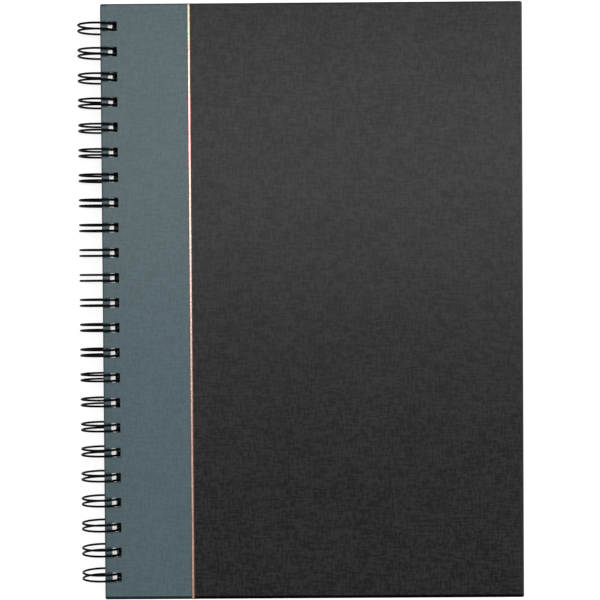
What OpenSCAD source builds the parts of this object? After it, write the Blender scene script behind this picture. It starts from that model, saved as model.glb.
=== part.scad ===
// Hardcover notebook bound with a twin-loop wire, lying closed on its back cover.
// X runs from the wire to the fore-edge, Y from tail to head, Z up.
// The origin is under the middle of the whole, at the level of the loops' lowest points.

/* [Covers] */
// Width of each cover, from the bound edge to the fore-edge
cover_w = 213; // [150:0.5:300]
// Height of each cover, from tail to head
cover_h = 302; // [200:0.5:400]
// Thickness of the board inside each cover
board_t = 1.9; // [1.4:0.1:3]
// Thickness of the linen glued over the board
cloth_t = 0.3; // [0.2:0.05:0.4]
// Width of linen turned in over the inside of the board
turn_in = 15; // [8:0.5:25]
// Radius of a cover's corners, seen from above
corner_r = 1.2; // [0.8:0.1:4]
// Radius of the linen where it wraps over the board's edges
edge_r = 0.5; // [0.2:0.05:0.8]
// Distance of the covers' bound edge from the axis of the loops
cover_edge = 2; // [1.2:0.05:3]

/* [Spine strip and foil line] */
// Width of the lighter linen strip beside the wire, on the outside
strip_w = 44.5; // [25:0.5:80]
// Width of the foil line over the joint of the two linens
foil_w = 1.1; // [0.5:0.1:4]
// Thickness of the foil line
foil_t = 0.08; // [0.05:0.01:0.2]

/* [Endpapers] */
// Thickness of the paper pasted inside each cover
endpaper_t = 0.2; // [0.1:0.05:0.4]
// Linen left showing round the endpaper at head, tail and fore-edge
endpaper_margin = 4; // [2:0.5:10]
// Linen left showing between the bound edge and the endpaper
endpaper_spine_margin = 1.6; // [0.8:0.1:2.4]

/* [Sheets] */
// Thickness of the stack of sheets at the fore-edge
block_t = 9.5; // [5:0.1:12]
// Overhang of the covers past the sheets at head and tail
head_overhang = 2.5; // [1:0.5:6]
// Overhang of the covers past the sheets at the fore-edge
fore_overhang = 2.5; // [1:0.5:6]
// Play between the sheets and each cover
block_play = 0.05; // [0.02:0.01:0.2]
// Distance from the loops to where the sheets lie flat again behind the seam
bow_l = 30; // [15:1:60]

/* [Holes] */
// Width of paper and board left between the bound edge and the holes
hole_margin = 3.6; // [2.8:0.1:5]
// Radius of the holes' corners
hole_r = 0.4; // [0.2:0.1:0.8]
// Play beside the pair of wires in a hole
hole_side_play = 0.4; // [0.2:0.05:0.8]
// Play between the outside of a loop and the far wall of its hole
hole_far_play = 1.04; // [0.3:0.02:1.5]

/* [Wire] */
// Diameter of the wire
wire_d = 1.1; // [0.8:0.05:1.4]
// Distance between the two wires of one loop
pair_gap = 3; // [2.4:0.1:4]
// Distance from one loop to the next
pitch = 12.7; // [10:0.1:16]
// Least distance from the middle of the last loop to the end of the cover
loop_end = 8; // [5:0.5:20]
// Play between the sheets' and covers' bound edges and the inside of the loops
loop_play = 0.36; // [0.2:0.02:1]
// Bend radius where the wire leaves a loop for the seam
bend_r = 0.9; // [0.75:0.05:1.2]
// Thinning of the wire where it is drawn through the tight bends of the seam
neck = 0.012; // [0.01:0.002:0.04]
// Play of the seam between the last sheet and the back cover
seam_play = 0.1; // [0.05:0.05:0.3]
// Play between a loop's tip and the bends that it nests in
tip_play = 0.2; // [0.1:0.05:0.5]
// Length of wire past the first and the last loop
wire_tail = 2; // [0.5:0.5:4]

/* [Hidden] */

$fn = 48;
// Overrun of a cutting tool past the face that it cuts
over = 1;
// Straight stretches that draw the bow of the last sheets
bow_steps = 12;
// Angle by which a seam bend runs on into the straight wire at either end
bend_lap = 3;

// Heights above and below the loops' axis, the same for both covers
block_half = block_t / 2;
endpaper_z = block_half + block_play;
inside_z = endpaper_z + endpaper_t;
board_z = inside_z + board_t;
outside_z = board_z + cloth_t;

// Loops: their inside clears the corners of the covers' bound edge
hole_near = cover_edge + hole_margin;
loop_inner_r = norm([hole_near, outside_z]) + loop_play;
loop_r = loop_inner_r + wire_d / 2;
loop_outer_r = loop_r + wire_d / 2;
loops = floor((cover_h - 2 * loop_end) / pitch) + 1;
function loop_y(i) = (i - (loops - 1) / 2) * pitch;

// Holes: one die punches covers and sheets
hole_far = sqrt(pow(loop_outer_r, 2) - pow(endpaper_z, 2)) + hole_far_play;
hole_w = hole_far - hole_near;
hole_h = pair_gap + wire_d + 2 * hole_side_play;

// Sheets: their bound edge clears the loops by as much as the covers' does
sheet_hole_near = sqrt(pow(loop_inner_r - loop_play, 2) - pow(block_half, 2));
sheet_edge = sheet_hole_near - hole_margin;
sheet_far = cover_edge + cover_w - fore_overhang;
sheet_h = cover_h - 2 * head_overhang;

// Seam: the wire lies between the last sheet and the back cover, and the tip nests in the bends
seam_room = wire_d + 2 * seam_play;
seam_z = -endpaper_z + seam_play + wire_d / 2;
seam_r = norm([loop_r, bend_r]);
seam_angle = asin(seam_z / seam_r);
arm_end = seam_angle - atan(bend_r / loop_r);
nest_w = pair_gap / 2 + bend_r;
tip_reach = sqrt(pow(nest_w + wire_d + tip_play, 2) - pow(nest_w, 2)) - bend_r;
tip_angle = seam_angle + tip_reach / loop_r * 180 / PI;
bar_l = pitch - pair_gap - 2 * bend_r;
neck_d = wire_d - neck;

// Place of the loops' axis in the whole
axis_x = loop_outer_r - (loop_outer_r + cover_edge + cover_w) / 2;
axis_z = loop_outer_r;

// Puts a piece that is drawn round the loops' axis in its place
module on_axis() {
    translate([axis_x, 0, axis_z]) children();
}

module rounded_rectangle(w, h, r) {
    square([w - 2 * r, h], center = true);
    square([w, h - 2 * r], center = true);
    for (x = [-1, 1], y = [-1, 1])
        translate([x * (w / 2 - r), y * (h / 2 - r)]) circle(r);
}

// Square-cornered plate of a cover's outline, less a margin all round
module cover_plate(margin, z, t) {
    translate([cover_edge + margin, margin - cover_h / 2, z])
        cube([cover_w - 2 * margin, cover_h - 2 * margin, t]);
}

// A cover's outside, with every edge rounded as the linen wraps it
module cover_form() {
    t = outside_z - inside_z;
    r = min(edge_r, t / 2 - cloth_t / 2);
    translate([cover_edge + cover_w / 2, 0, inside_z + t / 2])
        intersection() {
            linear_extrude(t, center = true) rounded_rectangle(cover_w, cover_h, corner_r);
            rotate([90, 0, 0])
                linear_extrude(cover_h, center = true) rounded_rectangle(cover_w, t, r);
            rotate([90, 0, 90])
                linear_extrude(cover_w, center = true) rounded_rectangle(cover_h, t, r);
        }
}

// The board, thinner round its rim by the linen that is turned in there
module board_form() {
    t = board_t - cloth_t;
    translate([cover_edge + cover_w / 2, 0, board_z - t])
        linear_extrude(t)
            rounded_rectangle(cover_w - 2 * cloth_t, cover_h - 2 * cloth_t, corner_r - cloth_t);
    cover_plate(turn_in, inside_z, board_t);
}

// The row of holes, from a near edge at x
module holes(x) {
    for (i = [0 : loops - 1])
        translate([x + hole_w / 2, loop_y(i), -outside_z - over])
            linear_extrude(2 * (outside_z + over)) rounded_rectangle(hole_w, hole_h, hole_r);
}

// Everything of a cover on one side of the joint between the two linens
module beside_joint(far_side) {
    x = far_side ? cover_edge + strip_w : cover_edge - over;
    w = far_side ? cover_w - strip_w + over : strip_w + over;
    translate([x, -cover_h / 2 - over, 0]) cube([w, cover_h + 2 * over, outside_z + over]);
}

module board() {
    difference() {
        board_form();
        holes(hole_near);
    }
}

module cover_cloth() {
    difference() {
        intersection() {
            cover_form();
            beside_joint(true);
        }
        board_form();
    }
}

module spine_strip() {
    difference() {
        intersection() {
            cover_form();
            beside_joint(false);
        }
        board_form();
        holes(hole_near);
    }
}

module endpaper() {
    x = cover_edge + endpaper_spine_margin;
    difference() {
        translate([x, endpaper_margin - cover_h / 2, endpaper_z])
            cube([cover_edge + cover_w - endpaper_margin - x, cover_h - 2 * endpaper_margin, endpaper_t]);
        holes(hole_near);
    }
}

module foil_line() {
    translate([cover_edge + strip_w - foil_w / 2, edge_r - cover_h / 2, outside_z])
        cube([foil_w, cover_h - 2 * edge_r, foil_t]);
}

// Underside of the stack: raised over the seam, then easing down to the back cover
function bow(u) = seam_room * (1 + cos(180 * u)) / 2;
bow_start = hole_far + hole_margin;
block_outline = concat(
    [[sheet_edge, block_half], [sheet_edge, seam_room - block_half]],
    [for (i = [0 : bow_steps])
        let (u = i / bow_steps) [bow_start + u * bow_l, bow(u) - block_half]],
    [[sheet_far, -block_half], [sheet_far, block_half]]);

// A length of wire bent round the Z axis
module wire_arc(r, angle, d = wire_d) {
    rotate_extrude(angle = angle) translate([r, 0]) circle(d = d);
}

// Stands at a point of the loop's circle, with Y along the wire and Z along the binding
module at_angle(a) {
    rotate(a) translate([loop_r, 0, 0]) children();
}

// One twin loop: two arms, the hairpin tip that joins them, and their bends to the seam
module twin_loop() {
    for (side = [0, 1])
        mirror([0, 0, side]) {
            translate([0, 0, pair_gap / 2])
                rotate(tip_angle) wire_arc(loop_r, 360 + arm_end - tip_angle);
            at_angle(arm_end)
                translate([0, 0, nest_w])
                    rotate([0, 90, 0]) rotate(-bend_lap) wire_arc(bend_r, 90 + 2 * bend_lap, neck_d);
        }
    at_angle(tip_angle) rotate([0, 90, 0]) rotate(180) wire_arc(pair_gap / 2, 180);
}

// A straight bar of the seam that starts where a loop's outer bend ends
module seam_bar(length) {
    at_angle(arm_end)
        translate([0, bend_r, nest_w]) cylinder(d = wire_d, h = length);
}

module wire_form() {
    rotate([90, 0, 0]) {
        for (i = [0 : loops - 1])
            translate([0, 0, loop_y(i)]) {
                twin_loop();
                seam_bar(i < loops - 1 ? bar_l : wire_tail);
            }
        translate([0, 0, loop_y(0)]) mirror([0, 0, 1]) seam_bar(wire_tail);
    }
}

module front_board() {
    color([0.45, 0.42, 0.39]) on_axis() board();
}

module front_cover_cloth() {
    color([0.21, 0.21, 0.21]) on_axis() cover_cloth();
}

module front_spine_strip() {
    color([0.36, 0.42, 0.44]) on_axis() spine_strip();
}

module front_foil_line() {
    color([0.84, 0.62, 0.52]) on_axis() foil_line();
}

module front_endpaper() {
    color([0.93, 0.92, 0.89]) on_axis() endpaper();
}

module back_board() {
    color([0.45, 0.42, 0.39]) on_axis() mirror([0, 0, 1]) board();
}

module back_cover_cloth() {
    color([0.21, 0.21, 0.21]) on_axis() mirror([0, 0, 1]) cover_cloth();
}

module back_spine_strip() {
    color([0.36, 0.42, 0.44]) on_axis() mirror([0, 0, 1]) spine_strip();
}

module back_endpaper() {
    color([0.93, 0.92, 0.89]) on_axis() mirror([0, 0, 1]) endpaper();
}

module page_block() {
    color([0.97, 0.96, 0.93]) on_axis() difference() {
        rotate([90, 0, 0]) linear_extrude(sheet_h, center = true) polygon(block_outline);
        holes(sheet_hole_near);
    }
}

module wire_binding() {
    color([0.05, 0.05, 0.05]) on_axis() wire_form();
}

front_board();
front_cover_cloth();
front_spine_strip();
front_foil_line();
front_endpaper();
back_board();
back_cover_cloth();
back_spine_strip();
back_endpaper();
page_block();
wire_binding();
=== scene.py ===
"""Looks of a hardcover notebook bound with twin-loop wire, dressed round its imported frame."""

import math
import random

import bpy
from mathutils import Matrix, Vector, geometry

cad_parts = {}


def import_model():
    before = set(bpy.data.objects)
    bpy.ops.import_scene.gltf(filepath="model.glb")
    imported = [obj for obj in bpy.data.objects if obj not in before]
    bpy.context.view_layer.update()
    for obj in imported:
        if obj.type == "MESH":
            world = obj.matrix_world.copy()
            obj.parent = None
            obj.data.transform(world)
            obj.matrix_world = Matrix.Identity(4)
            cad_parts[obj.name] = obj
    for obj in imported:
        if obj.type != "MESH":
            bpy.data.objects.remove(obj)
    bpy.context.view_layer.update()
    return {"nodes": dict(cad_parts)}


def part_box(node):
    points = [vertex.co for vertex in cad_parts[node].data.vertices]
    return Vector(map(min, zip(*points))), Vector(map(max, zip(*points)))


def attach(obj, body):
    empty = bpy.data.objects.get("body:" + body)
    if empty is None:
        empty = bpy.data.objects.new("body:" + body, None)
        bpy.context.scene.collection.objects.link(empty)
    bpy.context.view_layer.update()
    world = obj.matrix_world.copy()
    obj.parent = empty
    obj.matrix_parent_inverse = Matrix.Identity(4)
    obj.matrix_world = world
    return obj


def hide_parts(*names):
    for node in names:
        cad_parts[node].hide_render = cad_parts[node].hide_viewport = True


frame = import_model()

MM = 0.001

# The photograph is 600 x 600 pixels. The camera looks down on the covers, almost squarely.
IMAGE_SIZE = 600
FOCAL_PIXELS = 1580.6
SENSOR_W = 36.0
CAMERA_DISTANCE = 800.6 * MM
CAMERA_TILT = (1.175, -0.222, 0.383)
CAMERA_OFFSET = (0.17 * MM, -0.82 * MM)

# Sizes of the wire, as the frame's own wire has them
WIRE_D = 1.1 * MM
PAIR_GAP = 3.0 * MM
PITCH = 12.7 * MM
BEND_R = 0.9 * MM
WIRE_TAIL = 2.0 * MM
SEAM_PLAY = 0.1 * MM
TIP_PLAY = 0.2 * MM

# Sizes of the holes and of the bow of the last sheets over the wire's seam
HOLE_MARGIN = 3.6 * MM
HOLE_R = 0.4 * MM
HOLE_SIDE_PLAY = 0.4 * MM
HOLE_FAR_PLAY = 1.04 * MM
BOW_L = 30.0 * MM
SEAM_ROOM = WIRE_D + 2 * SEAM_PLAY

# Places taken from the frame
wire_low, wire_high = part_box("wire_binding")
LOOP_OUTER_R = (wire_high.z - wire_low.z) / 2
LOOP_R = LOOP_OUTER_R - WIRE_D / 2
AXIS_X = wire_low.x + LOOP_OUTER_R
AXIS_Z = wire_low.z + LOOP_OUTER_R
LOOPS = round((wire_high.y - wire_low.y) / PITCH)
cover_low, cover_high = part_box("front_cover_cloth")
spine_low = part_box("front_spine_strip")[0]
COVER_TOP = cover_high.z
block_low, block_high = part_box("page_block")
back_low, back_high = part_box("back_cover_cloth")
endpaper_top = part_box("back_endpaper")[1].z

# The holes' near wall in the covers, and their size
HOLE_NEAR = spine_low.x - AXIS_X + HOLE_MARGIN
HOLE_FAR = math.sqrt(LOOP_OUTER_R ** 2 - (AXIS_Z - endpaper_top) ** 2) + HOLE_FAR_PLAY
HOLE_W = HOLE_FAR - HOLE_NEAR
HOLE_H = PAIR_GAP + WIRE_D + 2 * HOLE_SIDE_PLAY
BOW_START = AXIS_X + HOLE_FAR + HOLE_MARGIN

# Where a loop's tip and its two arms end, as angles round the loops' axis
NEST = PAIR_GAP / 2 + BEND_R
SEAM_HEIGHT = endpaper_top + SEAM_PLAY + WIRE_D / 2 - AXIS_Z
SEAM_ANGLE = math.asin(SEAM_HEIGHT / math.hypot(LOOP_R, BEND_R))
ARM_END = SEAM_ANGLE - math.atan(BEND_R / LOOP_R)
TIP_ANGLE = SEAM_ANGLE + (math.sqrt((NEST + WIRE_D + TIP_PLAY) ** 2 - NEST ** 2) - BEND_R) / LOOP_R


def loop_y(i):
    """Middle of a loop along the binding."""
    return (i - (LOOPS - 1) / 2) * PITCH


def new_mesh(name, verts, faces, material, body, smooth=False):
    """A mesh piece of the notebook that rides on a body of the frame."""
    mesh = bpy.data.meshes.new(name)
    mesh.from_pydata(verts, [], faces)
    mesh.materials.append(material)
    mesh.polygons.foreach_set("use_smooth", [smooth] * len(mesh.polygons))
    mesh.update()
    piece = bpy.data.objects.new(name, mesh)
    bpy.context.scene.collection.objects.link(piece)
    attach(piece, body)
    return piece


class Shader:
    """A material's node tree, with short calls for what the finishes below share."""

    def __init__(self, name):
        self.material = bpy.data.materials.new(name)
        self.material.use_nodes = True
        self.tree = self.material.node_tree
        self.surface = self.tree.nodes["Principled BSDF"]
        place = self.add("ShaderNodeTexCoord").outputs["Object"]
        split = self.add("ShaderNodeSeparateXYZ")
        self.join(place, split.inputs[0])
        self.place = place
        self.x, self.y = split.outputs[:2]

    def add(self, kind, **settings):
        node = self.tree.nodes.new(kind)
        for key, value in settings.items():
            setattr(node, key, value)
        return node

    def join(self, value, socket):
        """Links an output to a socket, or sets the socket to a plain value."""
        if isinstance(value, bpy.types.NodeSocket):
            self.tree.links.new(value, socket)
        else:
            socket.default_value = value

    def math(self, operation, *values):
        node = self.add("ShaderNodeMath", operation=operation)
        for value, socket in zip(values, node.inputs):
            self.join(value, socket)
        return node.outputs[0]

    def ramp(self, value, low, high, to_low=0.0, to_high=1.0):
        """Maps a value smoothly from low..high to to_low..to_high."""
        node = self.add("ShaderNodeMapRange", interpolation_type="SMOOTHSTEP")
        for given, socket in zip((value, low, high, to_low, to_high), node.inputs):
            self.join(given, socket)
        return node.outputs[0]

    def noise(self, stretch, detail=2.0, shift=0.0):
        """Noise with its own scale along X, Y and Z, in waves a metre."""
        moved = self.add("ShaderNodeMapping")
        self.join(self.place, moved.inputs["Vector"])
        moved.inputs["Location"].default_value = (shift, shift, shift)
        moved.inputs["Scale"].default_value = stretch
        node = self.add("ShaderNodeTexNoise")
        self.join(moved.outputs[0], node.inputs["Vector"])
        node.inputs["Scale"].default_value = 1.0
        node.inputs["Detail"].default_value = detail
        return node.outputs[0]

    def mix(self, share, first, second):
        node = self.add("ShaderNodeMix", data_type="RGBA")
        self.join(share, node.inputs[0])
        self.join(first, node.inputs[6])
        self.join(second, node.inputs[7])
        return node.outputs[2]

    def bump(self, height, depth, strength=1.0):
        node = self.add("ShaderNodeBump")
        self.join(height, node.inputs["Height"])
        node.inputs["Distance"].default_value = depth
        node.inputs["Strength"].default_value = strength
        self.join(node.outputs[0], self.surface.inputs["Normal"])

    def set(self, **values):
        """Sets or links sockets of the surface, such as Base_Color or Roughness."""
        for name, value in values.items():
            self.join(value, self.surface.inputs[name.replace("_", " ")])
        return self


def rgb(r, g, b):
    return (r, g, b, 1.0)


def scaled(colour, factor):
    return tuple(c * factor for c in colour[:3]) + (1.0,)


THREAD = 0.42 * MM


def weave(s):
    """Height of a plain weave: warp threads along Y pass over and under weft threads along X."""
    u = s.math("DIVIDE", s.x, THREAD)
    v = s.math("DIVIDE", s.y, THREAD)
    wave_u = s.math("SINE", s.math("MULTIPLY", u, math.pi))
    wave_v = s.math("SINE", s.math("MULTIPLY", v, math.pi))
    crossing = s.math("MULTIPLY", wave_u, wave_v)
    warp = s.math("MULTIPLY", s.math("ABSOLUTE", wave_u), s.ramp(crossing, -1.0, 1.0, 0.3, 1.0))
    weft = s.math("MULTIPLY", s.math("ABSOLUTE", wave_v), s.ramp(crossing, -1.0, 1.0, 1.0, 0.3))
    return s.math("MAXIMUM", warp, weft)


def slubs(s):
    """Thick and thin stretches of the threads of both directions, from 0 to 1."""
    across, along, fleck_scale = 0.42 / THREAD, 0.08 / THREAD, 0.33 / THREAD
    warp = s.noise((across, along, 1.0), detail=2.0, shift=3.1)
    weft = s.noise((along, across, 1.0), detail=2.0, shift=7.7)
    fleck = s.noise((fleck_scale, fleck_scale, 1.0), detail=2.5, shift=1.3)
    both = s.math("ADD", s.math("MULTIPLY", warp, 0.36), s.math("MULTIPLY", weft, 0.34))
    return s.math("ADD", both, s.math("MULTIPLY", fleck, 0.30))


# Bands of painted shade in the linen, along the cover's edges and beside the wires: full as far as the
# first distance, and gone at the second
HEAD_BAND = (0.3 * MM, 0.8 * MM)
TAIL_BAND = (1.3 * MM, 1.9 * MM)
BOUND_BAND = (0.5 * MM, 1.3 * MM)
# Painted shadow of the wires on the linen: its band beside each wire, and how far it reaches past the
# holes' near wall
WIRE_SHADOW_BAND = (0.6 * MM, 2.1 * MM)
WIRE_SHADOW_END = 0.6 * MM

# The lighter band along the fore-edge: a painted highlight where the rounded edge catches the light
FORE_HIGHLIGHT_BAND = (0.5 * MM, 1.1 * MM)

# Tones of the linen's parts, as shares of its own colour: of the painted shade in the weave's hollows,
# of the painted highlight at the fore-edge and of the bands of painted shade
HOLLOW_SHADE_TONE = 0.35
HIGHLIGHT_TONE = 2.4
PAINTED_SHADE_TONE = 0.15


def painted_edge_shade(s):
    """Painted shade where the cloth turns away from the light at the cover's head, tail and bound
    edge, from 0 to 1.
    """
    from_head = s.math("SUBTRACT", cover_high.y, s.y)
    from_tail = s.math("SUBTRACT", s.y, cover_low.y)
    from_bound = s.math("SUBTRACT", s.x, spine_low.x)
    head = s.ramp(from_head, *HEAD_BAND, 1.0, 0.0)
    tail = s.ramp(from_tail, *TAIL_BAND, 1.0, 0.0)
    bound = s.ramp(from_bound, *BOUND_BAND, 0.6, 0.0)
    return s.math("MAXIMUM", s.math("MAXIMUM", head, tail), bound)


def painted_wire_shadows(s):
    """How dark the wires' painted shadow is on the linen between the bound edge and each hole."""
    from_middle = s.math("ABSOLUTE", s.math("WRAP", s.y, PITCH / 2, -PITCH / 2))
    from_wire = s.math("ABSOLUTE", s.math("SUBTRACT", from_middle, PAIR_GAP / 2))
    beside = s.ramp(from_wire, *WIRE_SHADOW_BAND, 0.8, 0.0)
    near_wall = AXIS_X + HOLE_NEAR
    reach = s.ramp(s.x, near_wall - WIRE_SHADOW_END, near_wall + WIRE_SHADOW_END, 1.0, 0.0)
    blot = s.ramp(s.noise((900.0, 900.0, 900.0), detail=3.0, shift=9.0), 0.3, 0.6, 0.7, 1.0)
    return s.math("MULTIPLY", s.math("MULTIPLY", beside, reach), blot)


def linen(name, colour, spread):
    """Matt book linen. spread is how much the threads' tone varies.

    The bands of painted shade and of the wires' painted shadow are given as metal, whose reflection
    takes its own dark colour, so that they have none of the cloth's sheen.
    """
    s = Shader(name)
    height = weave(s)
    thick = slubs(s)
    tone = s.ramp(thick, 0.42, 0.58)
    cloud = s.ramp(s.noise((45.0, 45.0, 45.0), shift=5.0), 0.3, 0.7, 0.0, 0.15)
    share = s.math("ADD", s.math("MULTIPLY", tone, 0.85), cloud)
    tint = s.mix(share, scaled(colour, 1 - spread), scaled(colour, 1 + spread))
    # Painted shade in the weave's hollows between the threads
    valley_shade = s.ramp(height, 0.0, 0.6, 0.55, 0.0)
    # Painted shade at the cover's edges and painted shadow of the wires: darker cloth, without its
    # sheen
    dark = s.math("MAXIMUM", painted_edge_shade(s), painted_wire_shadows(s))
    from_fore = s.math("SUBTRACT", cover_high.x, s.x)
    # Painted highlight along the fore-edge
    painted_highlight = s.ramp(from_fore, *FORE_HIGHLIGHT_BAND, 0.8, 0.0)
    cloth = s.mix(valley_shade, tint, scaled(colour, HOLLOW_SHADE_TONE))
    cloth = s.mix(painted_highlight, cloth, scaled(colour, HIGHLIGHT_TONE))
    s.set(Base_Color=s.mix(dark, cloth, scaled(colour, PAINTED_SHADE_TONE)), Metallic=dark)
    roughness = s.ramp(thick, 0.3, 0.7, 0.30, 0.28)
    s.set(Roughness=s.math("ADD", roughness, s.math("MULTIPLY", dark, 0.4)))
    s.set(Specular_IOR_Level=0.122)
    lift = s.math("ADD", s.math("MULTIPLY", height, 0.5), thick)
    s.bump(lift, 0.05 * MM, 0.08)
    return s.material


def copper_foil():
    """Hot-stamped foil that follows the threads under it."""
    s = Shader("copper_foil")
    height = weave(s)
    thick = slubs(s)
    dull = s.ramp(s.noise((900.0, 500.0, 100.0), shift=2.0), 0.35, 0.7)
    base = s.mix(dull, rgb(0.39, 0.25, 0.208), rgb(0.32, 0.204, 0.169))
    s.set(Base_Color=base, Metallic=1.0)
    s.set(Roughness=s.ramp(thick, 0.3, 0.7, 0.32, 0.24))
    s.bump(s.math("ADD", s.math("MULTIPLY", height, 0.4), thick), 0.03 * MM, 0.3)
    return s.material


def foil_rims_and_shade():
    """The rims of the foil, where only the tops of the threads took it, with painted shade of the
    stamped groove in their dark brown.
    """
    s = Shader("foil_rims_and_shade")
    taken = s.ramp(s.math("ADD", s.math("MULTIPLY", weave(s), 0.5), slubs(s)), 0.8, 1.15)
    s.set(Base_Color=s.mix(taken, rgb(0.042, 0.02, 0.013), rgb(0.22, 0.10, 0.065)))
    s.set(Metallic=s.ramp(taken, 0.0, 1.0, 0.0, 0.25), Roughness=0.5)
    s.set(Specular_IOR_Level=0.14)
    return s.material


def paper(name, colour, fibre=0.03):
    """Uncoated paper with fine fibres and a slightly cloudy tone."""
    s = Shader(name)
    cloud = s.noise((260.0, 260.0, 60.0), detail=4.0)
    fibres = s.noise((2600.0, 900.0, 900.0), detail=3.0, shift=4.0)
    share = s.math("ADD", s.math("MULTIPLY", cloud, 0.5), s.math("MULTIPLY", fibres, 0.5))
    s.set(Base_Color=s.mix(s.ramp(share, 0.35, 0.65), scaled(colour, 1 - fibre), colour))
    s.set(Roughness=s.ramp(fibres, 0.3, 0.7, 0.78, 0.92))
    s.set(Specular_IOR_Level=0.25)
    s.bump(fibres, 0.02 * MM, 0.5)
    return s.material


def greyboard():
    """Pulp board in its cut edges: grey board darkened to painted shade of the holes' walls, with
    light and dark fibres in layers.
    """
    s = Shader("greyboard")
    layers = s.noise((500.0, 500.0, 5200.0), detail=3.0)
    specks = s.noise((1800.0, 1800.0, 2600.0), detail=2.0, shift=6.0)
    share = s.math("ADD", s.math("MULTIPLY", layers, 0.6), s.math("MULTIPLY", specks, 0.4))
    dark, light = rgb(0.028, 0.026, 0.024), rgb(0.075, 0.070, 0.064)
    s.set(Base_Color=s.mix(s.ramp(share, 0.35, 0.65), dark, light))
    s.set(Roughness=0.9, Specular_IOR_Level=0.2)
    s.bump(share, 0.08 * MM, 0.7)
    return s.material


def coated_wire():
    """Gloss black nylon coating on steel wire."""
    s = Shader("coated_wire")
    ripple = s.noise((700.0, 700.0, 700.0), detail=2.0)
    s.set(Base_Color=s.mix(ripple, rgb(0.0015, 0.0015, 0.0018), rgb(0.004, 0.004, 0.0045)))
    s.set(Roughness=s.ramp(ripple, 0.3, 0.7, 0.2, 0.3), IOR=1.05)
    s.bump(ripple, 0.03 * MM, 0.35)
    return s.material


BLACK_LINEN = linen("black_linen", rgb(0.0121, 0.0121, 0.0130), 0.75)
GREY_LINEN = linen("grey_linen", rgb(0.081, 0.120, 0.1335), 0.10)
COPPER = copper_foil()
COPPER_RIMS_AND_SHADE = foil_rims_and_shade()
SHEET_PAPER = paper("sheet_paper", rgb(0.95, 0.95, 0.935))
# The sheets' paper in the holes' punched walls, darkened to painted shade of the deep holes
HOLE_SHADE_PAPER = paper("hole_shade_paper", rgb(0.16, 0.155, 0.15), fibre=0.3)
END_PAPER = paper("end_paper", rgb(0.84, 0.83, 0.79), fibre=0.05)
BOARD_IN_SHADE = greyboard()
BLACK_WIRE = coated_wire()


def dress_frame():
    """Gives the covers' nodes, whose shape is right, their finish."""
    finishes = {
        "board": BOARD_IN_SHADE,
        "cover_cloth": BLACK_LINEN,
        "spine_strip": GREY_LINEN,
        "endpaper": END_PAPER,
    }
    for side in ("front", "back"):
        for part, finish in finishes.items():
            node = frame["nodes"][f"{side}_{part}"]
            for place in node.material_slots:
                place.material = finish


def hole_ring(x, y):
    """Points round one punched hole, with its rounded corners, clockwise."""
    corners = [(1, 1, 0), (-1, 1, 90), (-1, -1, 180), (1, -1, 270)]
    points = []
    for sx, sy, start in corners:
        for turn in (0, 45, 90):
            a = math.radians(start + turn)
            points.append((x + sx * (HOLE_W / 2 - HOLE_R) + HOLE_R * math.cos(a),
                           y + sy * (HOLE_H / 2 - HOLE_R) + HOLE_R * math.sin(a)))
    return points[::-1]


def sheet_pattern():
    """One sheet seen from above: its points, triangles, cut edges and the holes' punched edges."""
    left, right = block_low.x, block_high.x
    half = (block_high.y - block_low.y) / 2
    steps = 10
    columns = [left, *(BOW_START + BOW_L * i / steps for i in range(steps + 1)), right]
    points = [(x, y) for x in columns for y in (-half, half)]
    tail = [2 * i for i in range(len(columns))]
    head = [2 * i + 1 for i in range(len(columns))]
    triangles = []
    for i in range(1, len(columns) - 1):
        triangles += [(tail[i], tail[i + 1], head[i + 1]), (tail[i], head[i + 1], head[i])]
    rim = tail + head[::-1]
    cuts = list(zip(rim, rim[1:] + rim[:1]))
    punched = []
    web = [tail[0], tail[1], head[1], head[0]]
    outlines = [[points[k] for k in web]]
    numbers = list(web)
    for i in range(LOOPS):
        ring = hole_ring(left + HOLE_MARGIN + HOLE_W / 2, loop_y(i))
        first = len(points)
        ids = list(range(first, first + len(ring)))
        points += ring
        numbers += ids
        punched += list(zip(ids, ids[1:] + ids[:1]))
        outlines.append(ring)
    for a, b, c in geometry.tessellate_polygon([[Vector((x, y, 0)) for x, y in o] for o in outlines]):
        a, b, c = numbers[a], numbers[b], numbers[c]
        (ax, ay), (bx, by), (cx, cy) = points[a], points[b], points[c]
        turn = (bx - ax) * (cy - ay) - (by - ay) * (cx - ax)
        triangles.append((a, b, c) if turn > 0 else (a, c, b))
    return points, triangles, cuts, punched


SHEETS = 76
SHEET_SHARE = 0.84
STRAY_X = 0.12 * MM
STRAY_Y = 0.18 * MM
STRAY_TURN = 0.0004


def bow(x):
    """How far the last sheet is raised over the wire's seam."""
    u = (x - BOW_START) / BOW_L
    return SEAM_ROOM * (1 + math.cos(math.pi * min(max(u, 0), 1))) / 2


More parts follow.
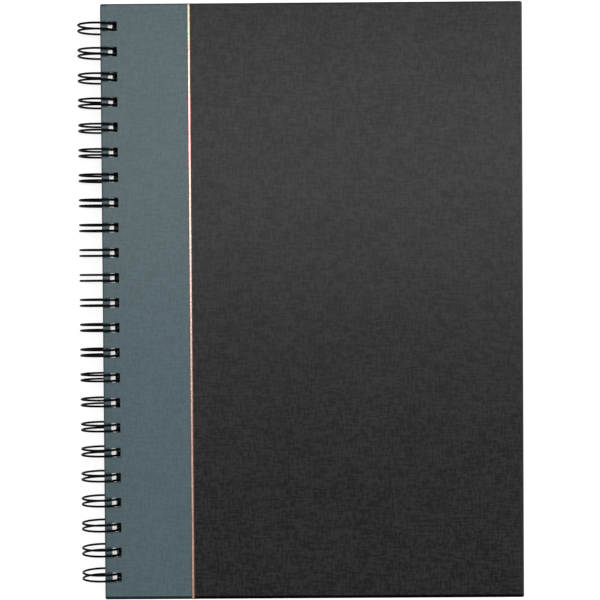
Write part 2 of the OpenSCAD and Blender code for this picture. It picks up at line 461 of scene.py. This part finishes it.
def sheets():
    """The stack of loose sheets: thin plates with holes in line and cut edges a little out of line."""
    rng = random.Random(11)
    points, triangles, cuts, punched = sheet_pattern()
    full = block_high.z - block_low.z
    in_hole = {k for edge in punched for k in edge}
    verts, faces = [], []
    for k in range(SHEETS):
        dx = rng.uniform(-STRAY_X, 0.0)
        dy = rng.uniform(-STRAY_Y, STRAY_Y)
        turn = rng.uniform(-STRAY_TURN, STRAY_TURN)
        first = len(verts)
        for share in (k / SHEETS, (k + SHEET_SHARE) / SHEETS):
            for i, (x, y) in enumerate(points):
                z = block_high.z - share * (full - bow(x))
                stray = (0.0, 0.0) if i in in_hole else (dx - turn * y, dy + turn * x)
                verts.append((x + stray[0], y + stray[1], z))
        n = len(points)
        faces += [(first + a, first + b, first + c) for a, b, c in triangles]
        faces += [(first + n + a, first + n + c, first + n + b) for a, b, c in triangles]
        faces += [(first + a, first + n + a, first + n + b, first + b) for a, b in cuts + punched]
    stack = new_mesh("sheets", verts, faces, SHEET_PAPER, "binding")
    stack.data.materials.append(HOLE_SHADE_PAPER)
    in_sheet = 2 * len(triangles) + len(cuts) + len(punched)
    # The holes' punched walls take the paper darkened to painted shade
    for k, face in enumerate(stack.data.polygons):
        face.material_index = 1 if k % in_sheet >= in_sheet - len(punched) else 0
    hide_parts("page_block")


def wire_path():
    """Points along the middle of the one wire that makes all the loops and the seam's bars."""
    tip, end = TIP_ANGLE, 2 * math.pi + ARM_END
    half = PAIR_GAP / 2

    def at(angle, along, y):
        """A point beside the loop's circle: along runs on in the direction of the wire."""
        c, s = math.cos(angle), math.sin(angle)
        return Vector((AXIS_X + LOOP_R * c - along * s, y, AXIS_Z + LOOP_R * s + along * c))

    arm_steps, bend_steps, tip_steps = 58, 6, 10
    points = [at(end, BEND_R, loop_y(0) - NEST - WIRE_TAIL)]
    for i in range(LOOPS):
        y = loop_y(i)
        for k in range(bend_steps):
            a = math.pi / 2 * k / bend_steps
            points.append(at(end, BEND_R * (1 - math.sin(a)), y - half - BEND_R * math.cos(a)))
        for k in range(arm_steps):
            points.append(at(end + (tip - end) * k / arm_steps, 0, y - half))
        for k in range(tip_steps + 1):
            a = math.pi * k / tip_steps
            points.append(at(tip, -half * math.sin(a), y - half * math.cos(a)))
        for k in range(1, arm_steps + 1):
            points.append(at(tip + (end - tip) * k / arm_steps, 0, y + half))
        for k in range(1, bend_steps + 1):
            a = math.pi / 2 * k / bend_steps
            points.append(at(end, BEND_R * (1 - math.cos(a)), y + half + BEND_R * math.sin(a)))
    points.append(at(end, BEND_R, loop_y(LOOPS - 1) + NEST + WIRE_TAIL))
    return points


def tube(points, radius, sides):
    """Vertices and faces of a closed tube along points, with slightly rounded ends."""
    bevel_step, end_share = 0.12, 0.72
    lead = points[0].lerp(points[1], bevel_step)
    trail = points[-1].lerp(points[-2], bevel_step)
    line = [points[0], lead, *points[1:-1], trail, points[-1]]
    radii = [radius * end_share, *[radius] * (len(line) - 2), radius * end_share]
    verts, faces = [], []
    side = Vector((0, 0, 1))
    for k, (point, r) in enumerate(zip(line, radii)):
        ahead = (line[min(k + 1, len(line) - 1)] - line[max(k - 1, 0)]).normalized()
        side = (side - ahead * side.dot(ahead)).normalized()
        up = ahead.cross(side)
        for j in range(sides):
            a = 2 * math.pi * j / sides
            verts.append(point + (side * math.cos(a) + up * math.sin(a)) * r)
    for k in range(len(line) - 1):
        for j in range(sides):
            a, b = k * sides + j, k * sides + (j + 1) % sides
            faces.append((a, b, b + sides, a + sides))
    last = (len(line) - 1) * sides
    faces.append(tuple(range(sides))[::-1])
    faces.append(tuple(range(last, last + sides)))
    return verts, faces


def wire():
    """The continuous wire, as a smooth round tube."""
    verts, faces = tube(wire_path(), WIRE_D / 2, sides=14)
    loops = new_mesh("twin_loop_wire", verts, faces, BLACK_WIRE, "binding", smooth=True)
    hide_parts("wire_binding")


# The foil ribbon: its bright face lies a little to the right of its node, over the linens' joint.
# The inset is taken from the node's left edge, the overhang and the rim's end from its right edge.
FOIL_STEP = 0.7 * MM
FOIL_WANDER = 0.02 * MM
FOIL_INSET = 0.36 * MM
FOIL_OVERHANG = 0.12 * MM
FOIL_RIM_END = 0.75 * MM
FOIL_DIP = 0.02 * MM
FOIL_SINK = 0.01 * MM


def foil():
    """The stamped line: a thin ribbon whose edges waver with the threads under it."""
    low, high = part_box("front_foil_line")
    rng = random.Random(5)
    count = round((high.y - low.y) / FOIL_STEP)
    verts, faces = [], []
    left = right = 0.0
    for k in range(count + 1):
        y = low.y + (high.y - low.y) * k / count
        left = 0.6 * left + rng.uniform(-FOIL_WANDER, FOIL_WANDER)
        right = 0.6 * right + rng.uniform(-FOIL_WANDER, FOIL_WANDER)
        top = high.z - FOIL_DIP * rng.random()
        base = low.z - FOIL_SINK
        verts += [(low.x, y, base), (low.x + FOIL_INSET + left, y, top),
                  (high.x + FOIL_OVERHANG + right, y, top), (high.x + FOIL_RIM_END, y, base)]
    for k in range(count):
        a = 4 * k
        faces += [(a + j, a + j + 1, a + j + 5, a + j + 4) for j in range(3)]
        faces.append((a + 3, a, a + 4, a + 7))
    last = 4 * count
    faces += [(3, 2, 1, 0), (last, last + 1, last + 2, last + 3)]
    ribbon = new_mesh("foil_ribbon", verts, faces, COPPER, "front_cover")
    ribbon.data.materials.append(COPPER_RIMS_AND_SHADE)
    # The top face takes the foil; the other faces take the rims' material, with its painted shade
    for k, face in enumerate(ribbon.data.polygons):
        face.material_index = 0 if k % 4 == 1 and k < 4 * count else 1
    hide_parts("front_foil_line")


def seen_share(tree, amount):
    """amount for rays of the camera, of reflections and of glass, and nothing for other rays."""
    path = tree.nodes.new("ShaderNodeLightPath")
    total = path.outputs["Is Camera Ray"]
    for name in ("Is Glossy Ray", "Is Transmission Ray"):
        node = tree.nodes.new("ShaderNodeMath")
        node.operation = "MAXIMUM"
        tree.links.new(total, node.inputs[0])
        tree.links.new(path.outputs[name], node.inputs[1])
        total = node.outputs[0]
    node = tree.nodes.new("ShaderNodeMath")
    node.operation = "MULTIPLY"
    tree.links.new(total, node.inputs[0])
    node.inputs[1].default_value = amount
    return node.outputs[0]


# The floor glows white where it is seen, a little more far away, but not under the row of holes
FLOOR_REACH = 3.0
GLOW_NEAR = 0.84
GLOW_FAR = 0.95
GLOW_DISTANCES = (0.4, 2.4)
UNDER_MARGIN = 6.0 * MM
UNDER_FADE = 3.0 * MM


def floor():
    """A pale floor that carries the loops' lowest points and the back cover's fore-edge."""
    row_middle, row_half_w = (HOLE_NEAR + HOLE_FAR) / 2, HOLE_W / 2 + UNDER_MARGIN
    row_half_h = loop_y(LOOPS - 1) + HOLE_H / 2 + UNDER_MARGIN
    mesh = bpy.data.meshes.new("floor")
    corners = [(x * FLOOR_REACH, y * FLOOR_REACH, 0) for x, y in ((-1, -1), (1, -1), (1, 1), (-1, 1))]
    mesh.from_pydata(corners, [], [(0, 1, 2, 3)])
    plane = bpy.data.objects.new("floor", mesh)
    bpy.context.scene.collection.objects.link(plane)
    rise = back_low.z - wire_low.z
    slope = math.atan2(rise, back_high.x - AXIS_X)
    plane.matrix_world = Matrix.Translation((AXIS_X, 0, wire_low.z)) @ Matrix.Rotation(-slope, 4, "Y")
    s = Shader("pale_floor")
    speck = s.noise((90.0, 90.0, 90.0), detail=3.0)
    s.set(Base_Color=s.mix(speck, rgb(0.30, 0.30, 0.30), rgb(0.32, 0.32, 0.32)))
    s.set(Roughness=0.9, Specular_IOR_Level=0.1, Emission_Color=rgb(1, 1, 1))
    open_x = s.math("SUBTRACT", s.math("ABSOLUTE", s.math("SUBTRACT", s.x, row_middle)), row_half_w)
    open_y = s.math("SUBTRACT", s.math("ABSOLUTE", s.y), row_half_h)
    clear = s.ramp(s.math("MAXIMUM", open_x, open_y), -UNDER_FADE, 0.0)
    squares = s.math("ADD", s.math("MULTIPLY", s.x, s.x), s.math("MULTIPLY", s.y, s.y))
    distance = s.math("SQRT", squares)
    level = s.math("MULTIPLY", clear, s.ramp(distance, *GLOW_DISTANCES, GLOW_NEAR, GLOW_FAR))
    s.set(Emission_Strength=s.math("MULTIPLY", level, seen_share(s.tree, 1.0)))
    mesh.materials.append(s.material)


# The light: a bright band low all round, a panel above the head half and a key lamp to the right
WALL_LEVEL = 1.5
ZENITH_LEVEL = 0.12
WALL_TOP = 0.3
WALL_FADE = 0.2
PANEL_EDGE = 0.01
PANEL_HEIGHT = 2.0
PANEL_AIM = (0.0, 0.1, 0.0)
PANEL_SIZE = (1.9, 0.5)
PANEL_RADIANCE = 5.9
KEY_PLACE = (1.8, 0.35, 2.7)
KEY_AIM = (0.0, 0.0, 0.0)
KEY_SIZE = 0.5
KEY_RADIANCE = 60.0


def world():
    """Soft light, most of it from low all round, and plain white where it is seen."""
    made = bpy.data.worlds.new("studio")
    bpy.context.scene.world = made
    made.use_nodes = True
    tree = made.node_tree
    background = tree.nodes["Background"]
    background.inputs["Color"].default_value = rgb(1, 1, 1)
    split = tree.nodes.new("ShaderNodeSeparateXYZ")
    tree.links.new(tree.nodes.new("ShaderNodeTexCoord").outputs["Generated"], split.inputs[0])
    level = tree.nodes.new("ShaderNodeMapRange")
    level.interpolation_type = "SMOOTHSTEP"
    tree.links.new(split.outputs["Z"], level.inputs["Value"])
    level.inputs["From Min"].default_value = (1 - WALL_FADE) * WALL_TOP
    level.inputs["From Max"].default_value = (1 + WALL_FADE) * WALL_TOP
    level.inputs["To Min"].default_value = WALL_LEVEL
    level.inputs["To Max"].default_value = ZENITH_LEVEL
    strength = tree.nodes.new("ShaderNodeMix")
    tree.links.new(seen_share(tree, 1.0), strength.inputs["Factor"])
    tree.links.new(level.outputs[0], strength.inputs["A"])
    strength.inputs["B"].default_value = 1.0
    tree.links.new(strength.outputs[0], background.inputs["Strength"])


def softbox(name, place, aim, size, radiance):
    """A rectangular lamp with a given radiance, turned towards aim."""
    lamp = bpy.data.lights.new(name, "AREA")
    lamp.shape = "RECTANGLE"
    lamp.size, lamp.size_y = size
    lamp.energy = radiance * math.pi * size[0] * size[1]
    holder = bpy.data.objects.new(name, lamp)
    bpy.context.scene.collection.objects.link(holder)
    holder.location = place
    holder.rotation_euler = (Vector(aim) - Vector(place)).to_track_quat("-Z", "Y").to_euler()


def lights():
    """The panel, whose reflection brightens the covers towards the head, and the key lamp."""
    panel_place = (0.0, PANEL_EDGE + PANEL_SIZE[1] / 2, PANEL_HEIGHT)
    softbox("head_panel", panel_place, PANEL_AIM, PANEL_SIZE, PANEL_RADIANCE)
    softbox("key_lamp", KEY_PLACE, KEY_AIM, (KEY_SIZE, KEY_SIZE), KEY_RADIANCE)


def camera():
    """The photograph's viewpoint, found from the covers' edges and the loops."""
    rx, ry, rz = (math.radians(a) for a in CAMERA_TILT)
    turn = Matrix.Rotation(rz, 3, "Z") @ Matrix.Rotation(ry, 3, "Y") @ Matrix.Rotation(rx, 3, "X")
    back = turn.transposed()
    lens = bpy.data.cameras.new("camera")
    lens.sensor_width = SENSOR_W
    lens.lens = FOCAL_PIXELS / IMAGE_SIZE * SENSOR_W
    lens.clip_start = 0.01
    viewer = bpy.data.objects.new("camera", lens)
    bpy.context.scene.collection.objects.link(viewer)
    offset = Vector((*CAMERA_OFFSET, -CAMERA_DISTANCE))
    place = Vector((0, 0, COVER_TOP)) - back @ offset
    viewer.matrix_world = Matrix.Translation(place) @ back.to_4x4()
    bpy.context.scene.camera = viewer


camera()
dress_frame()
sheets()
wire()
foil()
floor()
world()
lights()
bpy.context.scene.view_settings.view_transform = "Standard"
